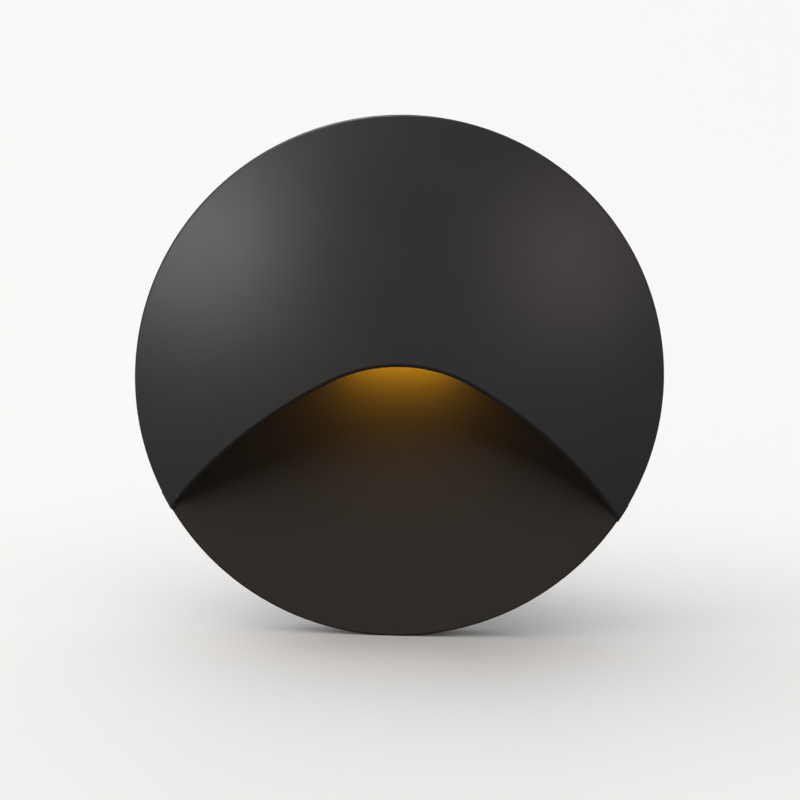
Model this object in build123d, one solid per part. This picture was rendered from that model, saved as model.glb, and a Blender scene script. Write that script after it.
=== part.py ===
from build123d import *
import math
import os

# Round recessed wall light with a domed hood, a hidden light strip and a motion sensor behind the face.
# Millimetres. X is right, Y runs into the wall, Z is up. The wall surface is Y = 0, the face looks along -Y.

# Face: a disc split by an arch into a domed hood above and a shallow dish below
face_radius = 60.0
rim_depth = 10.0
skirt_gap = 0.6
skirt_draft = 12.0
dome_rise = 9.0
dish_sink = 2.0
shell = 1.8
rim_step = 0.05
seam = 0.2
lip_round = 0.9
lip_end = 1.4
rim_round = 0.4

# Arch of the hood's lip: a crest arc with a flank arc on each side, all tangent
crest_height = 4.2
crest_radius = 32.7
crest_half_angle = 28.5
flank_radius = 101.5

# Recess roof behind the lip, with the light window in it
roof_height = 6.0
roof_wall = 1.6
light_line = 12.2
window_length = 30.0
window_width = 4.8
window_flange = 1.0
window_margin = 1.1
window_gasket_thickness = 0.5
window_play = 0.1
seat = 0.05

# Light strip
chip_gap = 0.9
chip_height = 0.8
chip_size = 3.0
chip_count = 3
chip_pitch = 7.0
daylight_sensor_size = 2.2
led_board_length = 28.0
led_board_width = 6.6
led_board_thickness = 1.6
bracket_length = 17.0
bracket_thickness = 1.8
bracket_leg = 11.0
bracket_screw_pitch = 10.0
lead_radius = 0.6
lead_spread = 10.0
lead_rise = 2.4
lead_bend = 2.0
lead_hole_play = 0.3

# Screws that hold the hood and the face, from behind
face_screw_radius = 1.25
face_screw_head_radius = 2.4
face_screw_head = 1.4
face_screw_ring = 45.0
face_boss_radius = 3.4
hood_screw_angles = (90.0, 155.0, 25.0)
dish_screw_angles = (270.0, 228.0, 312.0)
hood_screw_bite = 7.0
dish_screw_bite = 3.2
screw_play = 0.05
recess_play = 0.2

# Housing
wall_gasket_thickness = 1.5
wall_gasket_margin = 0.6
wall_gasket_inset = 3.5
flange_thickness = 3.0
flange_play = 0.4
collar_radius = 33.5
collar_wall = 2.0
collar_length = 7.5
can_radius = 27.5
can_wall = 1.8
can_length = 44.5
ledge_width = 3.2
ledge_height = 2.0
ledge_depth = 29.5

# Spring clips at the sides of the can
clip_stand = 3.0
clip_pivot_y = 10.5
clip_pin_radius = 1.0
clip_pin_head_radius = 1.5
clip_pin_head = 0.6
clip_ear_inside = 6.1
clip_ear_thickness = 2.0
clip_ear_reach = 1.8
clip_ear_front = 3.6
clip_ear_rear = 2.6
clip_ear_round = 1.2
clip_knuckle_radius = 1.8
clip_knuckle_width = 1.2
clip_side_play = 0.2
clip_bore_play = 0.05
clip_arm_length = 24.5
clip_arm_root = 2.5
clip_arm_thickness = 1.0
clip_arm_tip_half = 4.0
clip_arm_tip_round = 1.5
clip_pad_length = 7.0
clip_pad_half = 3.6
clip_pad_thickness = 1.6
clip_pad_inset = 1.0
spring_wire_radius = 0.35
spring_mean_radius = 1.6
spring_pitch = 1.3
spring_turns = 4
spring_leg_clear = 0.6
spring_bar_play = 0.05
spring_bar_width = 1.4
spring_bar_depth = 1.2
spring_arm_leg = 10.0

# Driver and sensor electronics
driver_board_thickness = 1.6
driver_board_play = 0.3
stake_radius = 1.0
stake_head_radius = 1.6
stake_head = 0.8
stake_inset = 2.1
sensor_board_width = 30.0
sensor_board_height = 30.0
sensor_board_thickness = 1.2
sensor_board_z = -2.0
sensor_stand = 2.5
sensor_stake_inset = 2.5
sensor_shield_size = 14.0
sensor_shield_height = 2.2
link_length = 12.7
link_width = 2.6
link_z = -15.4
transformer_x = -7.0
transformer_z = 3.0
transformer_core_length = 22.0
transformer_core_height = 16.0
transformer_core_width = 6.0
transformer_core_leg = 2.9
transformer_winding_width = 14.0
transformer_play = 0.1
input_capacitor = {"radius": 5.0, "height": 16.0, "x": 12.0, "z": 9.0}
output_capacitor = {"radius": 4.0, "height": 14.0, "x": 13.0, "z": -5.0}
fuse_radius = 2.5
fuse_length = 14.0
fuse_x = -9.0
fuse_z = -9.0
rectifier_width = 6.0
rectifier_thickness = 3.0
rectifier_height = 8.0
rectifier_x = 10.5
rectifier_z = -14.5

# Rear cover and its screws
cover_gasket_thickness = 0.8
cover_gasket_margin = 0.1
cover_thickness = 2.6
cover_round = 0.8
cover_boss_radius = 2.4
cover_screw_inset = 2.1
cover_screw_radius = 1.1
cover_screw_head_radius = 1.9
cover_screw_head = 1.4
cover_screw_bite = 8.0
cover_screw_angles = (90.0, 200.0, 340.0)

# Terminal compartment with its hinged door
door_hatch_width = 22.0
door_hatch_low = 2.0
door_hatch_high = 16.2
door_overlap = 1.4
door_gap = 0.4
door_thickness = 1.4
door_round = 1.5
hinge_radius = 1.3
hinge_drop = 3.4
hinge_pin_radius = 0.7
hinge_bore_play = 0.05
hinge_knuckle_half = 8.5
hinge_ear_width = 2.5
hinge_side_play = 0.3
hinge_clear = 0.5
door_lip_half = 4.0
door_lip = 1.0
door_lip_height = 1.4
terminal_width = 19.2
terminal_low = 3.2
terminal_high = 15.0
terminal_cover_gap = 0.9
terminal_poles = 3
terminal_pitch = 6.0
button_size = 3.6
button_play = 0.12
button_z = 11.4
button_travel = 1.4
button_stand = 1.6
button_sink = 4.5
button_floor = 0.4
wire_hole_radius = 1.4
wire_hole_z = 6.8
wire_hole_depth = 8.0

# Setting dials on their trimmers
dial_names = ("time", "light", "range")
dial_pitch = 14.0
dial_z = -5.0
dial_head_radius = 2.0
dial_head = 4.2
dial_shaft_radius = 1.2
dial_play = 0.06
dial_sink = 0.2
dial_slot_width = 0.7
dial_slot_depth = 0.9
trimmer_size = 6.0
trimmer_height = 7.0
trimmer_bore_depth = 3.4
dial_end_play = 0.3

# Cable gland
gland_z = -16.4
gland_thread_radius = 4.8
gland_bore_radius = 3.6
gland_hex_radius = 6.4
gland_hex = 2.4
gland_spigot = 5.0
gland_locknut = 2.2
gland_tail = 1.0
gland_cap_radius = 6.2
gland_cap_length = 9.2
gland_cap_gap = 0.2
gland_cap_end = 1.4
gland_seal_radius = 4.6
gland_seal_bore = 3.2
gland_play = 0.1

# Planes and radii worked out from the sizes above
rim_y = -rim_depth
apex_y = rim_y - dome_rise
skirt_rear_y = -skirt_gap
draft_slope = math.tan(math.radians(skirt_draft))
dome_sphere = (face_radius**2 + dome_rise**2) / (2 * dome_rise)
dome_centre_y = apex_y + dome_sphere
dish_sphere = (face_radius**2 + dish_sink**2) / (2 * dish_sink)
dish_centre_y = rim_y + dish_sink - dish_sphere
flange_rear_y = -wall_gasket_thickness
flange_front_y = flange_rear_y - flange_thickness
collar_rear_y = flange_rear_y + collar_length
can_rear_y = flange_rear_y + can_length
can_bore = can_radius - can_wall
stake_ring = can_bore - stake_inset
cover_screw_ring = can_bore - cover_screw_inset
clip_pivot_x = can_radius + clip_stand
board_front_y = flange_rear_y + ledge_depth
board_rear_y = board_front_y + driver_board_thickness
cover_front_y = can_rear_y + cover_gasket_thickness
cover_rear_y = cover_front_y + cover_thickness
window_base = roof_height + roof_wall
window_top = window_base + window_gasket_thickness + window_flange + 2 * seat
led_z = crest_height + window_top + chip_gap + chip_height
led_top_z = led_z + led_board_thickness
bracket_top_z = led_top_z + bracket_thickness
bracket_screw_z = led_top_z + bracket_leg - face_screw_head_radius - face_screw_radius
lead_z = led_top_z + lead_rise
far = 4 * face_radius


def disc(radius, y0, y1, x=0.0, z=0.0):
    """Cylinder along Y."""
    return Pos(x, (y0 + y1) / 2, z) * Rot(90, 0, 0) * Cylinder(radius, y1 - y0)


def rod_x(radius, x0, x1, y, z):
    """Cylinder along X."""
    return Pos((x0 + x1) / 2, y, z) * Rot(0, 90, 0) * Cylinder(radius, x1 - x0)


def rod_z(radius, z0, z1, x, y):
    """Cylinder along Z."""
    return Pos(x, y, (z0 + z1) / 2) * Cylinder(radius, z1 - z0)


def block(x0, x1, y0, y1, z0, z1):
    """Box between two corners."""
    return Pos((x0 + x1) / 2, (y0 + y1) / 2, (z0 + z1) / 2) * Box(x1 - x0, y1 - y0, z1 - z0)


def hexagon(radius, y0, y1, z):
    """Hexagonal prism along Y, with its corners on the radius."""
    outline = RegularPolygon(radius, 6)
    return Pos(0, y1, z) * Rot(90, 0, 0) * extrude(outline, y1 - y0)


def rim_radius_at(y, inset):
    """Radius of the skirt at a depth, moved in by an inset."""
    return face_radius - inset - (y - rim_y) * draft_slope


def dome_y(radius, inset):
    """Depth of the dome at a radius, moved inside the shell by an inset."""
    return dome_centre_y - math.sqrt((dome_sphere - inset) ** 2 - radius**2)


def dish_y(radius, inset):
    """Depth of the dish at a radius, moved behind its front by an inset."""
    return dish_centre_y + math.sqrt((dish_sphere + inset) ** 2 - radius**2)


def skirt_meets(sphere, centre_y, inset, side):
    """Point where the skirt's cone crosses a sphere, on the near side (-1) or far side (1) of the rim."""
    depth = centre_y - rim_y
    radius = face_radius - inset
    square = 1 + draft_slope**2
    half = draft_slope * radius + depth
    rest = radius**2 + depth**2 - sphere**2
    y = rim_y + (half + side * math.sqrt(half**2 - square * rest)) / square
    return rim_radius_at(y, inset), y


def spun(*edges):
    """Solid turned about the light's axis from a closed outline of radius and depth."""
    return revolve(make_face(edges), Axis.Y)


def dome_arc(radius, inset):
    """Dome's outline from the axis out to a radius."""
    middle = radius / 2
    ends = (0, dome_y(0, inset)), (radius, dome_y(radius, inset))
    return ThreePointArc(ends[0], (middle, dome_y(middle, inset)), ends[1])


def dish_arc(radius, inset):
    """Dish's outline from the axis out to a radius."""
    middle = radius / 2
    ends = (0, dish_y(0, inset)), (radius, dish_y(radius, inset))
    return ThreePointArc(ends[0], (middle, dish_y(middle, inset)), ends[1])


def under_dome(inset, radius, rear_y):
    """Space behind the dome, out to a radius and back to a plane."""
    arc = dome_arc(radius, inset)
    return spun(arc, Polyline(arc @ 1, (radius, rear_y), (0, rear_y), arc @ 0))


def behind_dish(inset, radius):
    """Space behind the dish, out to a radius and back to the wall."""
    arc = dish_arc(radius, inset)
    return spun(arc, Polyline(arc @ 1, (radius, 0), (0, 0), arc @ 0))


def arch_point(angle, offset, y, side):
    """Point of the lip's arch, moved out by an offset. The angle is from straight up."""
    crest = math.radians(crest_half_angle)
    low = crest_height - crest_radius
    if angle <= crest:
        reach = crest_radius + offset
        return (side * reach * math.sin(angle), y, low + reach * math.cos(angle))
    shift = crest_radius - flank_radius
    reach = flank_radius + offset
    x = shift * math.sin(crest) + reach * math.sin(angle)
    return (side * x, y, low + shift * math.cos(crest) + reach * math.cos(angle))


def below_arch(offset):
    """Everything under the arch, as a prism that runs past the light on every side."""
    crest = math.radians(crest_half_angle)
    shift = (flank_radius - crest_radius) * math.sin(crest)
    end = math.asin(min(1.0, (1.05 * face_radius + shift) / flank_radius))
    middle = (crest + end) / 2
    left = [arch_point(a, offset, -far, -1) for a in (end, middle, crest)]
    right = [arch_point(a, offset, -far, 1) for a in (crest, middle, end)]
    top = arch_point(0.0, offset, -far, 1)
    corners = [(far, -far, right[2][2]), (far, -far, -far), (-far, -far, -far), (-far, -far, left[0][2])]
    edges = [
        ThreePointArc(*left),
        ThreePointArc(left[2], top, right[0]),
        ThreePointArc(*right),
        Polyline(right[2], *corners, left[0]),
    ]
    return extrude(make_face(edges), 2 * far, dir=(0, 1, 0))


def domed_shell():
    """Whole disc of the hood's shell: dome outside and inside, with the drafted skirt behind the rim."""
    outer = dome_arc(face_radius, 0.0)
    radius, inner_y = skirt_meets(dome_sphere - shell, dome_centre_y, shell, -1)
    inner = dome_arc(radius, shell)
    rear_outer = (rim_radius_at(skirt_rear_y, 0.0), skirt_rear_y)
    rear_inner = (rim_radius_at(skirt_rear_y, shell), skirt_rear_y)
    skirt = Polyline(outer @ 1, rear_outer, rear_inner, (radius, inner_y))
    return spun(outer, skirt, inner, Line(inner @ 0, outer @ 0))


def dished_shell():
    """Whole disc of the lower face's shell: dish in front and behind, with the same drafted skirt."""
    rim, front_y = skirt_meets(dish_sphere, dish_centre_y, rim_step, 1)
    front = dish_arc(rim, 0.0)
    radius, back_y = skirt_meets(dish_sphere + shell, dish_centre_y, rim_step + shell, 1)
    back = dish_arc(radius, shell)
    rear_outer = (rim_radius_at(skirt_rear_y, rim_step), skirt_rear_y)
    rear_inner = (rim_radius_at(skirt_rear_y, rim_step + shell), skirt_rear_y)
    skirt = Polyline((rim, front_y), rear_outer, rear_inner, (radius, back_y))
    return spun(front, skirt, back, Line(back @ 0, front @ 0))


def ring_places(angles, radius):
    """Places on a circle about the axis, as x and z."""
    turns = [math.radians(angle) for angle in angles]
    return [(radius * math.cos(turn), radius * math.sin(turn)) for turn in turns]


hood_screws = ring_places(hood_screw_angles, face_screw_ring)
dish_screws = ring_places(dish_screw_angles, face_screw_ring)
cover_screws = ring_places(cover_screw_angles, cover_screw_ring)


def lip_reach():
    """Place near the rim at which the rounded part of the lip ends, as x and z."""
    inner, outer = math.radians(crest_half_angle), math.pi / 2
    for _ in range(40):
        angle = (inner + outer) / 2
        x, _, z = arch_point(angle, 0.0, 0.0, 1)
        if math.hypot(x, z) < face_radius - lip_end:
            inner = angle
        else:
            outer = angle
    return x, z


def hood_cover():
    """Moulded hood: a domed shell with a drafted skirt, cut off along the arch, with three screw bosses."""
    whole = domed_shell() - below_arch(0.0)
    reach, low = lip_reach()
    # the lip and the rim are rounded up to the lip's two ends, which stay square where they run out
    corner = block(reach, far, -far, far, -far, low + 2 * lip_end)
    ends = whole & (corner + mirror(corner, Plane.YZ))
    hood = whole - ends
    hood = fillet(hood.edges().filter_by(is_lip_edge), lip_round)
    hood = fillet(hood.edges().filter_by(is_rim_edge), rim_round)
    hood += ends
    room = under_dome(shell / 2, face_screw_ring + face_boss_radius, flange_front_y)
    for x, z in hood_screws:
        hood += disc(face_boss_radius, apex_y, flange_front_y, x, z) & room
    for x, z in hood_screws:
        hole_radius = face_screw_radius + screw_play
        hood -= disc(hole_radius, flange_front_y - hood_screw_bite - screw_play, flange_front_y, x, z)
    return hood


def is_lip_edge(edge):
    """True for the edges where the dome meets the arch."""
    point = edge @ 0.5
    on_dome = abs((point - Vector(0, dome_centre_y, 0)).length - dome_sphere) < 1e-3
    return on_dome and abs(point.X) < lip_reach()[0] - seam and point.Y < rim_y - seam


def is_rim_edge(edge):
    """True for the edges where the front of the face meets the skirt."""
    point = edge @ 0.5
    return math.hypot(point.X, point.Z) > face_radius - rim_step - seam and point.Y < rim_y + seam


def tongue_radius():
    """Radius at which the hood's shell meets the dish, past which the dish can't run behind the lip."""
    closing = (shell + 2 * seam) / (dome_rise + dish_sink)
    return face_radius * math.sqrt(1 - closing)


def lower_face():
    """Moulded lower face: a dish that runs up behind the lip and folds forward into the recess roof."""
    plate = dished_shell()
    pocket = under_dome(shell + seam, tongue_radius(), skirt_rear_y) & below_arch(window_base)
    backing = behind_dish(shell / 2, face_radius)
    face = (plate & below_arch(-seam)) + (plate & pocket)
    face += pocket - below_arch(roof_height) - backing
    face = fillet(face.edges().filter_by(is_rim_edge), rim_round)
    for x, z in dish_screws:
        face += disc(face_boss_radius, rim_y, flange_front_y, x, z) & backing
    for x, z in dish_screws:
        hole_radius = face_screw_radius + screw_play
        face -= disc(hole_radius, flange_front_y - dish_screw_bite - screw_play, flange_front_y, x, z)
    return face - window_box(0.0)


def window_box(grow):
    """Column through the roof in the outline of the light window, grown on all four sides."""
    half = window_length / 2 + grow
    depth = window_width / 2 + grow
    return block(-half, half, -light_line - depth, -light_line + depth, 0, crest_height + window_top)


def window_parts():
    """Frosted window that follows the roof's curve, and the gasket under its flange."""
    slot = window_box(-window_play)
    rim = window_box(window_margin)
    gasket_low = window_base + seat
    gasket_high = gasket_low + window_gasket_thickness
    flange_low = gasket_high + seat
    stem = (below_arch(flange_low) - below_arch(roof_height)) & slot
    flange = (below_arch(flange_low + window_flange) - below_arch(flange_low)) & rim_tall(rim)
    gasket = ((below_arch(gasket_high) - below_arch(gasket_low)) & rim) - window_box(0.0)
    return {"light_window": stem + flange, "window_gasket": gasket}


def rim_tall(rim):
    """The flange's outline, raised so that it clears the flange's own top."""
    return rim + Pos(0, 0, window_flange) * rim


def light_strip():
    """LED board hung under a bent aluminium angle, with its chips, daylight sensor and two leads."""
    parts = {}
    half = led_board_length / 2
    front = -light_line - led_board_width / 2
    rear = -light_line + led_board_width / 2
    parts["led_board"] = block(-half, half, front, rear, led_z, led_top_z)
    for index in range(chip_count):
        x = (index - (chip_count - 1) / 2) * chip_pitch
        parts[f"led_chip_{index + 1}"] = chip(x, chip_size)
    parts["light_sensor"] = chip(half - daylight_sensor_size, daylight_sensor_size)
    wide = bracket_length / 2
    leg_front = flange_front_y - bracket_thickness
    angle = block(-wide, wide, front, flange_front_y, led_top_z, bracket_top_z)
    angle += block(-wide, wide, leg_front, flange_front_y, led_top_z, led_top_z + bracket_leg)
    screws = []
    for side, name in ((-1, "left"), (1, "right")):
        x = side * bracket_screw_pitch / 2
        angle -= disc(face_screw_radius + screw_play, leg_front, flange_front_y, x, bracket_screw_z)
        screw = disc(face_screw_radius, leg_front, flange_rear_y, x, bracket_screw_z)
        screw += disc(face_screw_head_radius, leg_front - face_screw_head, leg_front, x, bracket_screw_z)
        screws.append(screw)
        parts[f"led_lead_{name}"] = lead(side * lead_spread)
    parts["bracket_screws"] = Compound(children=screws)
    parts["led_bracket"] = angle
    return parts


def chip(x, size):
    """Square part soldered under the LED board."""
    half = size / 2
    return block(x - half, x + half, -light_line - half, -light_line + half, led_z - chip_height, led_z)


def lead(x):
    """Insulated wire from the LED board up and back through the flange to the driver board."""
    start = (x, -light_line, led_top_z)
    corner = (x, -light_line, lead_z)
    end = (x, board_front_y, lead_z)
    path = FilletPolyline(start, corner, end, radius=lead_bend)
    return sweep(Plane(start, z_dir=(0, 0, 1)) * Circle(lead_radius), path)


def housing():
    """Moulded body: flange behind the face, collar for the wall cut-out, can and clip ears."""
    flange_radius = rim_radius_at(flange_rear_y, shell) - flange_play
    body = disc(flange_radius, flange_front_y, flange_rear_y)
    body += disc(collar_radius, flange_rear_y, collar_rear_y)
    body -= disc(collar_radius - collar_wall, flange_rear_y, collar_rear_y)
    body += disc(can_radius, flange_rear_y, can_rear_y) - disc(can_bore, flange_rear_y, can_rear_y)
    ledge = disc(can_radius - can_wall / 2, board_front_y - ledge_height, board_front_y)
    body += ledge - disc(can_bore - ledge_width, board_front_y - ledge_height, board_front_y)
    for x, z in cover_screws:
        boss = disc(cover_boss_radius, board_front_y, can_rear_y, x, z) & disc(can_radius, 0, can_rear_y)
        body += boss - disc(cover_screw_radius + screw_play, can_rear_y - cover_screw_bite, can_rear_y, x, z)
    for side in (-1, 1):
        body += stake(side * stake_ring, 0.0, board_front_y, board_rear_y, stake_radius)
        for z in sensor_stake_heights():
            body += sensor_stake(side, z)
        body += clip_ears(side)
        body -= disc(lead_radius + lead_hole_play, flange_front_y, flange_rear_y, side * lead_spread, lead_z)
        x = side * bracket_screw_pitch / 2
        body -= disc(face_screw_radius + screw_play, flange_front_y, flange_rear_y, x, bracket_screw_z)
    recess_front = flange_rear_y - face_screw_head - recess_play
    for x, z in hood_screws + dish_screws:
        body -= disc(face_screw_radius + screw_play, flange_front_y, flange_rear_y, x, z)
        body -= disc(face_screw_head_radius + recess_play, recess_front, flange_rear_y, x, z)
    return body


def stake(x, z, y0, y1, radius):
    """Moulded post through a board, with its tip melted into a head behind the board."""
    return disc(radius, y0, y1, x, z) + disc(stake_head_radius, y1, y1 + stake_head, x, z)


def sensor_stake_heights():
    """Heights of the two rows of posts that hold the sensor board."""
    reach = sensor_board_height / 2 - sensor_stake_inset
    return (sensor_board_z - reach, sensor_board_z + reach)


def sensor_stake(side, z):
    """Stand-off and post for one corner of the sensor board."""
    x = side * (sensor_board_width / 2 - sensor_stake_inset)
    board_y = flange_rear_y + sensor_stand
    stand = disc(stake_head_radius, flange_rear_y, board_y, x, z)
    return stand + stake(x, z, board_y, board_y + sensor_board_thickness, stake_radius)


def clip_ears(side):
    """Two ears on the can that carry one clip's pin, with a bar between them that stops the spring's leg."""
    root = math.sqrt(can_bore**2 - clip_ear_inside**2) + can_wall / 3
    tip = clip_pivot_x + clip_ear_reach
    y0 = clip_pivot_y - clip_ear_front
    y1 = clip_pivot_y + clip_ear_rear
    bar = clip_pivot_x - spring_mean_radius + spring_wire_radius + spring_bar_play
    ears = block(bar, bar + spring_bar_width, y0, y0 + spring_bar_depth, -clip_ear_inside, clip_ear_inside)
    for end in (-1, 1):
        inner = end * clip_ear_inside
        outer = end * (clip_ear_inside + clip_ear_thickness)
        low, high = sorted((inner, outer))
        ear = block(root, tip, y0, y1, low, high)
        ear = fillet(ear.edges().filter_by(Axis.Z).group_by(Axis.X)[-1], clip_ear_round)
        ears += ear - rod_z(clip_pin_radius + clip_bore_play, low, high, clip_pivot_x, clip_pivot_y)
    return ears if side > 0 else mirror(ears, about=Plane.YZ)


def wall_gasket():
    """Foam ring between the flange and the wall."""
    outer = rim_radius_at(flange_rear_y, shell) - flange_play - wall_gasket_margin
    inner = collar_radius + wall_gasket_inset
    return disc(outer, flange_rear_y, 0.0) - disc(inner, flange_rear_y, 0.0)


def face_screws():
    """Screws from behind the flange into the bosses of the hood and of the lower face."""
    parts = {}
    seat_y = flange_rear_y - face_screw_head - recess_play
    groups = (("hood_screws", hood_screws, hood_screw_bite), ("face_screws", dish_screws, dish_screw_bite))
    for group, places, bite in groups:
        screws = []
        for x, z in places:
            screw = disc(face_screw_radius, flange_front_y - bite, seat_y, x, z)
            screws.append(screw + disc(face_screw_head_radius, seat_y, seat_y + face_screw_head, x, z))
        parts[group] = Compound(children=screws)
    return parts


def clip_pin():
    """Riveted pivot pin of the right-hand clip."""
    end = clip_ear_inside + clip_ear_thickness
    pin = rod_z(clip_pin_radius, -end, end, clip_pivot_x, clip_pivot_y)
    pin += rod_z(clip_pin_head_radius, end, end + clip_pin_head, clip_pivot_x, clip_pivot_y)
    return pin + rod_z(clip_pin_head_radius, -end - clip_pin_head, -end, clip_pivot_x, clip_pivot_y)


def clip_arm():
    """Stamped arm of the right-hand clip: a tapered leaf on a fork with two knuckles round the pin."""
    outer = clip_ear_inside - clip_side_play
    inner = outer - clip_knuckle_width
    half = clip_arm_thickness / 2
    x0 = clip_pivot_x + clip_arm_root
    x1 = clip_pivot_x + clip_arm_length
    outline = Polyline(
        (x0, clip_pivot_y - half, -outer),
        (x0, clip_pivot_y - half, outer),
        (x1, clip_pivot_y - half, clip_arm_tip_half),
        (x1, clip_pivot_y - half, -clip_arm_tip_half),
        close=True,
    )
    arm = extrude(make_face(outline), clip_arm_thickness, dir=(0, 1, 0))
    arm = fillet(arm.edges().filter_by(Axis.Y).group_by(Axis.X)[-1], clip_arm_tip_round)
    for low, high in ((-outer, -inner), (inner, outer)):
        arm += block(clip_pivot_x, x0, clip_pivot_y - half, clip_pivot_y + half, low, high)
        arm += rod_z(clip_knuckle_radius, low, high, clip_pivot_x, clip_pivot_y)
    for low, high in ((-outer, -inner), (inner, outer)):
        arm -= rod_z(clip_pin_radius + clip_bore_play, low, high, clip_pivot_x, clip_pivot_y)
    return arm


def clip_pad():
    """Rubber pad under the tip of the right-hand arm, on the side that grips the wall."""
    x1 = clip_pivot_x + clip_arm_length - clip_pad_inset
    y1 = clip_pivot_y - clip_arm_thickness / 2
    return block(x1 - clip_pad_length, x1, y1 - clip_pad_thickness, y1, -clip_pad_half, clip_pad_half)


def coil_point(turn):
    """Point and direction of the torsion spring's wire, a number of turns from where the fixed leg ends."""
    angle = math.pi - 2 * math.pi * turn
    rise = spring_pitch * (turn - (spring_turns + 0.25) / 2)
    x = clip_pivot_x + spring_mean_radius * math.cos(angle)
    y = clip_pivot_y + spring_mean_radius * math.sin(angle)
    along = 2 * math.pi * spring_mean_radius
    direction = Vector(along * math.sin(angle), -along * math.cos(angle), spring_pitch)
    return Vector(x, y, rise), direction.normalized()


def biarc(start, start_way, end, end_way):
    """Two arcs that join two points and keep both directions."""
    across = end - start
    both = start_way + end_way
    square = 2 * (start_way.dot(end_way) - 1)
    middle = -2 * across.dot(both)
    root = math.sqrt(middle**2 - 4 * square * across.dot(across))
    reach = (-middle - root) / (2 * square)
    reach = reach if reach > 0 else (-middle + root) / (2 * square)
    first = start + start_way * reach
    second = end - end_way * reach
    join = (first + second) * 0.5
    return [
        Edge.make_tangent_arc(start, start_way, join),
        Edge.make_tangent_arc(join, (second - first).normalized(), end),
    ]


def clip_spring():
    """Torsion spring of the right-hand clip: a leg behind the bar, a coil round the pin, a leg on the arm."""
    quarters = 4 * spring_turns + 1
    stations = [coil_point(quarter / 4) for quarter in range(quarters + 1)]
    first, first_way = stations[0]
    last, last_way = stations[-1]
    tail = first - first_way * (clip_pivot_y - collar_rear_y - spring_leg_clear)
    edges = [Line(tail, first)]
    for (start, start_way), (end, end_way) in zip(stations, stations[1:]):
        edges += biarc(start, start_way, end, end_way)
    edges.append(Line(last, last + last_way * spring_arm_leg))
    path = Wire(edges)
    print("clip spring: least gap of the wire to itself", round(least_gap(path), 3), "mm")
    section = Plane(tail, z_dir=first_way) * Circle(spring_wire_radius)
    return sweep(section, path)


def least_gap(path):
    """Smallest air gap between stretches of the wire that lie more than half a turn apart."""
    count = 400
    points = [path @ (index / count) for index in range(count + 1)]
    apart = math.ceil(math.pi * spring_mean_radius / path.length * count)
    gaps = []
    for index, point in enumerate(points):
        gaps += [(point - other).length for other in points[index + apart:]]
    return min(gaps) - 2 * spring_wire_radius


def clips():
    """Both spring clips, the left one a mirror image of the right one."""
    parts = {}
    right = (("pin", clip_pin()), ("arm", clip_arm()), ("pad", clip_pad()), ("spring", clip_spring()))
    for name, shape in right:
        parts[f"clip_{name}_right"] = shape
        parts[f"clip_{name}_left"] = mirror(shape, about=Plane.YZ)
    return parts


def driver_board():
    """Round board on the can's ledge, notched round the cover's bosses and held by two melted posts."""
    board = disc(can_bore - driver_board_play, board_front_y, board_rear_y)
    for x, z in cover_screws:
        board -= disc(cover_boss_radius + driver_board_play, board_front_y, board_rear_y, x, z)
    for side in (-1, 1):
        board -= disc(stake_radius + screw_play, board_front_y, board_rear_y, side * stake_ring, 0.0)
    return board


def driver_parts():
    """Power parts that hang from the front of the driver board."""
    parts = {}
    for name, size in (("input_capacitor", input_capacitor), ("output_capacitor", output_capacitor)):
        top = board_front_y - size["height"]
        parts[name] = disc(size["radius"], top, board_front_y, size["x"], size["z"])
    y0 = board_front_y - transformer_core_height
    x0 = transformer_x - transformer_core_length / 2
    x1 = transformer_x + transformer_core_length / 2
    thick = transformer_core_width / 2
    leg = transformer_core_leg
    near = transformer_z - thick
    away = transformer_z + thick
    core = block(x0, x1, y0, board_front_y, near, away)
    core -= block(x0 + leg, x1 - leg, y0 + leg, board_front_y - leg, near, away)
    inset = leg + transformer_play
    tall = transformer_winding_width / 2
    low = transformer_z - tall
    high = transformer_z + tall
    parts["transformer_core"] = core
    parts["transformer_winding"] = block(x0 + inset, x1 - inset, y0 + inset, board_front_y - inset, low, high)
    half = fuse_length / 2
    parts["fuse"] = rod_x(fuse_radius, fuse_x - half, fuse_x + half, board_front_y - fuse_radius, fuse_z)
    wide = rectifier_width / 2
    deep = rectifier_thickness / 2
    y0 = board_front_y - rectifier_height
    rectifier_low = rectifier_z - deep
    rectifier_high = rectifier_z + deep
    left = rectifier_x - wide
    parts["rectifier"] = block(left, rectifier_x + wide, y0, board_front_y, rectifier_low, rectifier_high)
    return parts


def sensor_parts():
    """Motion sensor board behind the face, its metal shield and the header to the driver board."""
    y0 = flange_rear_y + sensor_stand
    y1 = y0 + sensor_board_thickness
    wide = sensor_board_width / 2
    tall = sensor_board_height / 2
    board = block(-wide, wide, y0, y1, sensor_board_z - tall, sensor_board_z + tall)
    for side in (-1, 1):
        for z in sensor_stake_heights():
            board -= disc(stake_radius + screw_play, y0, y1, side * (wide - sensor_stake_inset), z)
    half = sensor_shield_size / 2
    shield = block(-half, half, y1, y1 + sensor_shield_height, sensor_board_z - half, sensor_board_z + half)
    long = link_length / 2
    deep = link_width / 2
    link = block(-long, long, y1, board_front_y, link_z - deep, link_z + deep)
    return {"sensor_board": board, "sensor_shield": shield, "board_link": link}


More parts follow.
